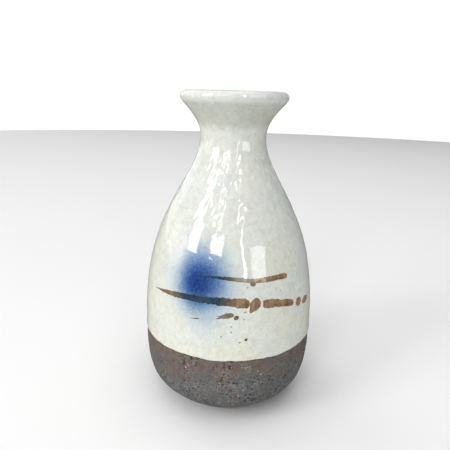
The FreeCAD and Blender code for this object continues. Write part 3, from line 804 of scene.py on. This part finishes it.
UPPER_STROKE = [
    (-21.4, 66.75, 0.10), (-17.0, 66.72, 0.28), (-12.8, 66.76, 0.40), (-8.7, 66.80, 0.54), (-3.3, 66.68, 0.66),
    (2.0, 66.42, 0.78), (8.6, 66.05, 0.80), (15.8, 65.56, 0.82), (19.6, 65.49, 0.90), (27.1, 65.57, 1.02),
    (34.6, 65.62, 1.06), (38.1, 65.53, 1.16), (41.6, 65.32, 1.02),
]
LOWER_STROKE = [
    (-57.6, 55.83, 0.04), (-51.3, 56.20, 0.38), (-45.3, 56.62, 0.72), (-39.1, 56.96, 1.00), (-33.8, 57.24, 1.18),
    (-26.5, 57.56, 1.24), (-17.2, 57.63, 1.38), (-9.2, 57.70, 1.42), (-4.4, 57.64, 1.70), (1.0, 57.48, 1.60),
    (6.8, 57.12, 1.86), (10.0, 57.00, 1.95), (13.4, 56.90, 1.75),
]
LOWER_STROKE_END = [
    (21.9, 56.00, 1.60), (25.0, 55.93, 1.78), (27.4, 55.84, 1.90), (31.1, 55.51, 1.64), (35.2, 55.02, 1.54),
    (39.6, 54.34, 1.66), (43.5, 53.87, 1.52), (46.4, 53.45, 1.45),
]
SHORT_DAB = [
    (-4.9, 51.40, 0.42), (-3.9, 51.58, 0.70), (-2.5, 51.80, 0.90), (0.0, 52.10, 1.04), (1.9, 52.28, 0.96), (3.7, 52.44, 0.62),
]
THIN_DASH = [(-24.0, 49.14, 0.03), (-21.3, 49.44, 0.17), (-18.9, 49.68, 0.26), (-17.2, 49.78, 0.06)]

film("stroke_upper", [brushed(UPPER_STROKE, 1, 0.0, 1.1, rough=0.10, scallop=0.17, fade=True)], "upper_brush_stroke")
film("stroke_lower", [brushed(LOWER_STROKE, 2, 0.0, 1.2, rough=0.12, scallop=0.34, fade=True)], "lower_brush_stroke")
film("stroke_lower_blot", [dabbed(16.9, 56.30, 2.20, 2.52, 3, rough=0.05, lean=-14, bumps=((246, 0.62, 20), (96, 0.05, 24)))], "round_brush_blot")
film("stroke_lower_end", [brushed(LOWER_STROKE_END, 4, 0.12, 1.1, rough=0.13, scallop=0.34)], "lower_brush_stroke_end")
film("stroke_tail_dots", [
    dabbed(51.9, 52.60, 1.95, 1.94, 5, rough=0.06, lean=12, bumps=((-16, 0.24, 13),)),
    dabbed(61.2, 51.50, 2.70, 1.64, 6, rough=0.06, lean=6, bumps=((176, 0.16, 12),)),
], "brush_tail_dots")
film("stroke_short", [
    brushed(SHORT_DAB, 7, 0.0, 0.7, rough=0.10, scallop=0.06),
    brushed([(-7.2, 50.62, 0.04), (-6.1, 50.80, 0.20), (-4.8, 51.06, 0.28), (-3.6, 51.24, 0.30)], 17, 0.0, 0.1, rough=0.06, cols=7),
    brushed([(-6.7, 51.46, 0.04), (-5.8, 51.58, 0.15), (-4.7, 51.72, 0.22), (-3.6, 51.88, 0.26)], 18, 0.0, 0.1, rough=0.06, cols=7),
    brushed(THIN_DASH, 8, 0.0, 0.0, rough=0.04, cols=9),
], "short_brush_dabs")
DROPS = [
    (15.4, 64.30, 1.17, 0.86, 0.45, 0), (5.1, 51.32, 1.10, 0.82, 0.55, 24), (11.3, 42.03, 0.68, 0.54, 0.85, 28),
    (7.5, 40.91, 0.38, 0.32, 0.25, 0), (10.4, 53.43, 0.52, 0.28, 0.10, 14), (9.7, 50.58, 0.32, 0.25, 0.45, 0),
    (11.8, 63.09, 0.36, 0.24, 0.15, 0), (2.2, 47.70, 0.26, 0.27, 0.30, 0), (2.3, 45.34, 0.29, 0.31, 0.40, 0),
    (-3.6, 43.34, 0.37, 0.23, 0.15, 20), (34.7, 60.16, 0.22, 0.17, 0.75, 0),
]
film("drops", [
    dabbed(a, z, w, h, 100 + i, dark=d, rough=0.10, lean=l, cols=28) for i, (a, z, w, h, d, l) in enumerate(DROPS)
], "iron_drops")


# ------------------------------------------------------------------ floor
def floor_material():
    """One plain pale surface, the same everywhere; the shade on it is cast by the bottle."""
    mat = bpy.data.materials.new("pale_floor")
    mat.use_nodes = True
    p = mat.node_tree.nodes["Principled BSDF"]
    p.inputs["Base Color"].default_value = (0.9, 0.9, 0.9, 1)
    p.inputs["Roughness"].default_value = 1.0
    p.inputs["Specular IOR Level"].default_value = 0.0
    return mat


ang = np.linspace(0, 2 * math.pi, 96, endpoint=False)
fv, ff = [], []
radii = (0.02, 0.06, 0.15, 0.4, 1.0, 1.6)
for r in radii:
    fv += [[r * math.cos(a) / MM, r * math.sin(a) / MM, 0.0] for a in ang]
ff.append(tuple(range(96)))
for i in range(len(radii) - 1):
    for j in range(96):
        ff.append((i * 96 + j, (i + 1) * 96 + j, (i + 1) * 96 + (j + 1) % 96, i * 96 + (j + 1) % 96))
floor = make_object("floor", fv, ff, floor_material())
floor.visible_glossy = False     # kept out of the gloss


# ------------------------------------------------------------------ lights
def panel(name, az, el0, el1, width_deg, dist, radiance, colour=(1, 1, 1)):
    """An upright softbox that faces the bottle, from az degrees (0 is the front, + is to the right)."""
    a = math.radians(az)
    out = Vector((math.sin(a), -math.cos(a), 0))
    z0 = 0.08 + dist * math.tan(math.radians(el0))
    z1 = 0.08 + dist * math.tan(math.radians(el1))
    w = 2 * dist * math.tan(math.radians(width_deg / 2))
    d = bpy.data.lights.new(name, "AREA")
    d.shape, d.size, d.size_y = "RECTANGLE", w, z1 - z0
    d.color = colour
    d.energy = radiance * math.pi * w * (z1 - z0)
    o = bpy.data.objects.new(name, d)
    bpy.context.collection.objects.link(o)
    zaxis = out                      # a light shines along its own -Z
    yaxis = Vector((0, 0, 1))
    xaxis = yaxis.cross(zaxis)
    m = Matrix((xaxis, yaxis, zaxis)).transposed().to_4x4()
    m.translation = out * dist + Vector((0, 0, (z0 + z1) / 2))
    o.matrix_world = m
    return o


def overhead(name, x, y, z, size, radiance, colour=(1, 1, 1)):
    d = bpy.data.lights.new(name, "AREA")
    d.shape, d.size, d.size_y = "RECTANGLE", size, size
    d.color = colour
    d.energy = radiance * math.pi * size * size
    o = bpy.data.objects.new(name, d)
    bpy.context.collection.objects.link(o)
    zaxis = Vector((x, y, z - 0.05)).normalized()
    xaxis = Vector((0, 1, 0)).cross(zaxis).normalized()
    yaxis = zaxis.cross(xaxis)
    m = Matrix((xaxis, yaxis, zaxis)).transposed().to_4x4()
    m.translation = Vector((x, y, z))
    o.matrix_world = m
    return o


for strip in (
    panel("strip_left", -58.0, 12.0, 47.0, 22.0, 1.3, 5),
    panel("strip_left_front", -20.5, 17.0, 45.5, 18.0, 1.3, 5.3),
):
    strip.visible_glossy = False
panel("strip_thin", 20.5, 1.2, 46.0, 4.0, 1.3, 5)
# the bare windows as the gloss sees them; their light on the glaze is already in the strips
for window in (
    panel("window_left", -58.5, 12.5, 31.0, 17.0, 1.25, 12.0),
    panel("window_left_high", -58.5, 31.0, 47.0, 12.0, 1.25, 9.5),
    panel("window_left_front_low", -20.5, 17.0, 27.5, 17.0, 1.25, 12.0),
    panel("window_left_front_high", -26.0, 29.5, 46.5, 3.8, 1.25, 12.0),
    panel("window_left_front_bar", -16.0, 29.5, 46.5, 3.4, 1.25, 12.0),
    panel("window_thin", 20.5, 1.2, 47.0, 3.0, 1.25, 8.0),
):
    window.visible_diffuse = False
panel("strip_right_front", 42.0, -1.0, 20.0, 21.0, 1.3, 1.25)
sheen = panel("window_right_front", 42.0, -1.0, 20.0, 21.0, 1.25, 4.2)
sheen.visible_diffuse = False
overhead("overhead", 0.0, -0.2, 2.0, 2.2, 1.55)
panel("fill_left", -90.0, 0.5, 16.0, 40.0, 2.0, 1.7)
panel("fill_back_left", -135.0, 0.5, 50.0, 40.0, 2.0, 1)
panel("fill_back", 180.0, 0.5, 50.0, 60.0, 2.4, 0.35)

WORLD_LEVEL = 0.2
world = bpy.data.worlds.new("studio")
bpy.context.scene.world = world
world.use_nodes = True
wn = world.node_tree
wn.nodes.clear()
w_out = wn.nodes.new("ShaderNodeOutputWorld")
w_mix = wn.nodes.new("ShaderNodeMixShader")
w_path = wn.nodes.new("ShaderNodeLightPath")
w_light = wn.nodes.new("ShaderNodeBackground")
w_light.inputs[0].default_value = (1.0, 1.0, 1.0, 1)
w_light.inputs[1].default_value = WORLD_LEVEL
w_seen = wn.nodes.new("ShaderNodeBackground")
w_seen.inputs[0].default_value = (1.0, 1.0, 1.0, 1)
w_seen.inputs[1].default_value = 1.05
wn.links.new(w_path.outputs["Is Camera Ray"], w_mix.inputs[0])
wn.links.new(w_light.outputs[0], w_mix.inputs[1])
wn.links.new(w_seen.outputs[0], w_mix.inputs[2])
wn.links.new(w_mix.outputs[0], w_out.inputs[0])

scene = bpy.context.scene
scene.view_settings.view_transform = "Standard"
scene.view_settings.look = "None"
scene.view_settings.exposure = 0.0
scene.view_settings.gamma = 1.0

# ------------------------------------------------------------------ camera
pitch, yaw, roll = math.atan(129.0 / 455.0), math.radians(-0.7338), math.radians(1.5508)
sy, cy, sp, cp, sr, cr = math.sin(yaw), math.cos(yaw), math.sin(pitch), math.cos(pitch), math.sin(roll), math.cos(roll)
forward = Vector((sy * cp, cy * cp, -sp))
right0 = Vector((cy, -sy, 0))
up0 = Vector((sy * sp, cy * sp, cp))
right = right0 * cr + up0 * sr
up = up0 * cr - right0 * sr
cam_data = bpy.data.cameras.new("camera")
cam_data.sensor_fit = "HORIZONTAL"
cam_data.sensor_width = 36.0
cam_data.lens = 36.4
cam_data.clip_start, cam_data.clip_end = 0.005, 50.0
cam = bpy.data.objects.new("camera", cam_data)
bpy.context.collection.objects.link(cam)
m = Matrix((right, up, -forward)).transposed().to_4x4()
m.translation = Vector((0.0, -0.1966, 0.1338))
cam.matrix_world = m
scene.camera = cam

# ------------------------------------------------------------------ done
bpy.context.view_layer.update()
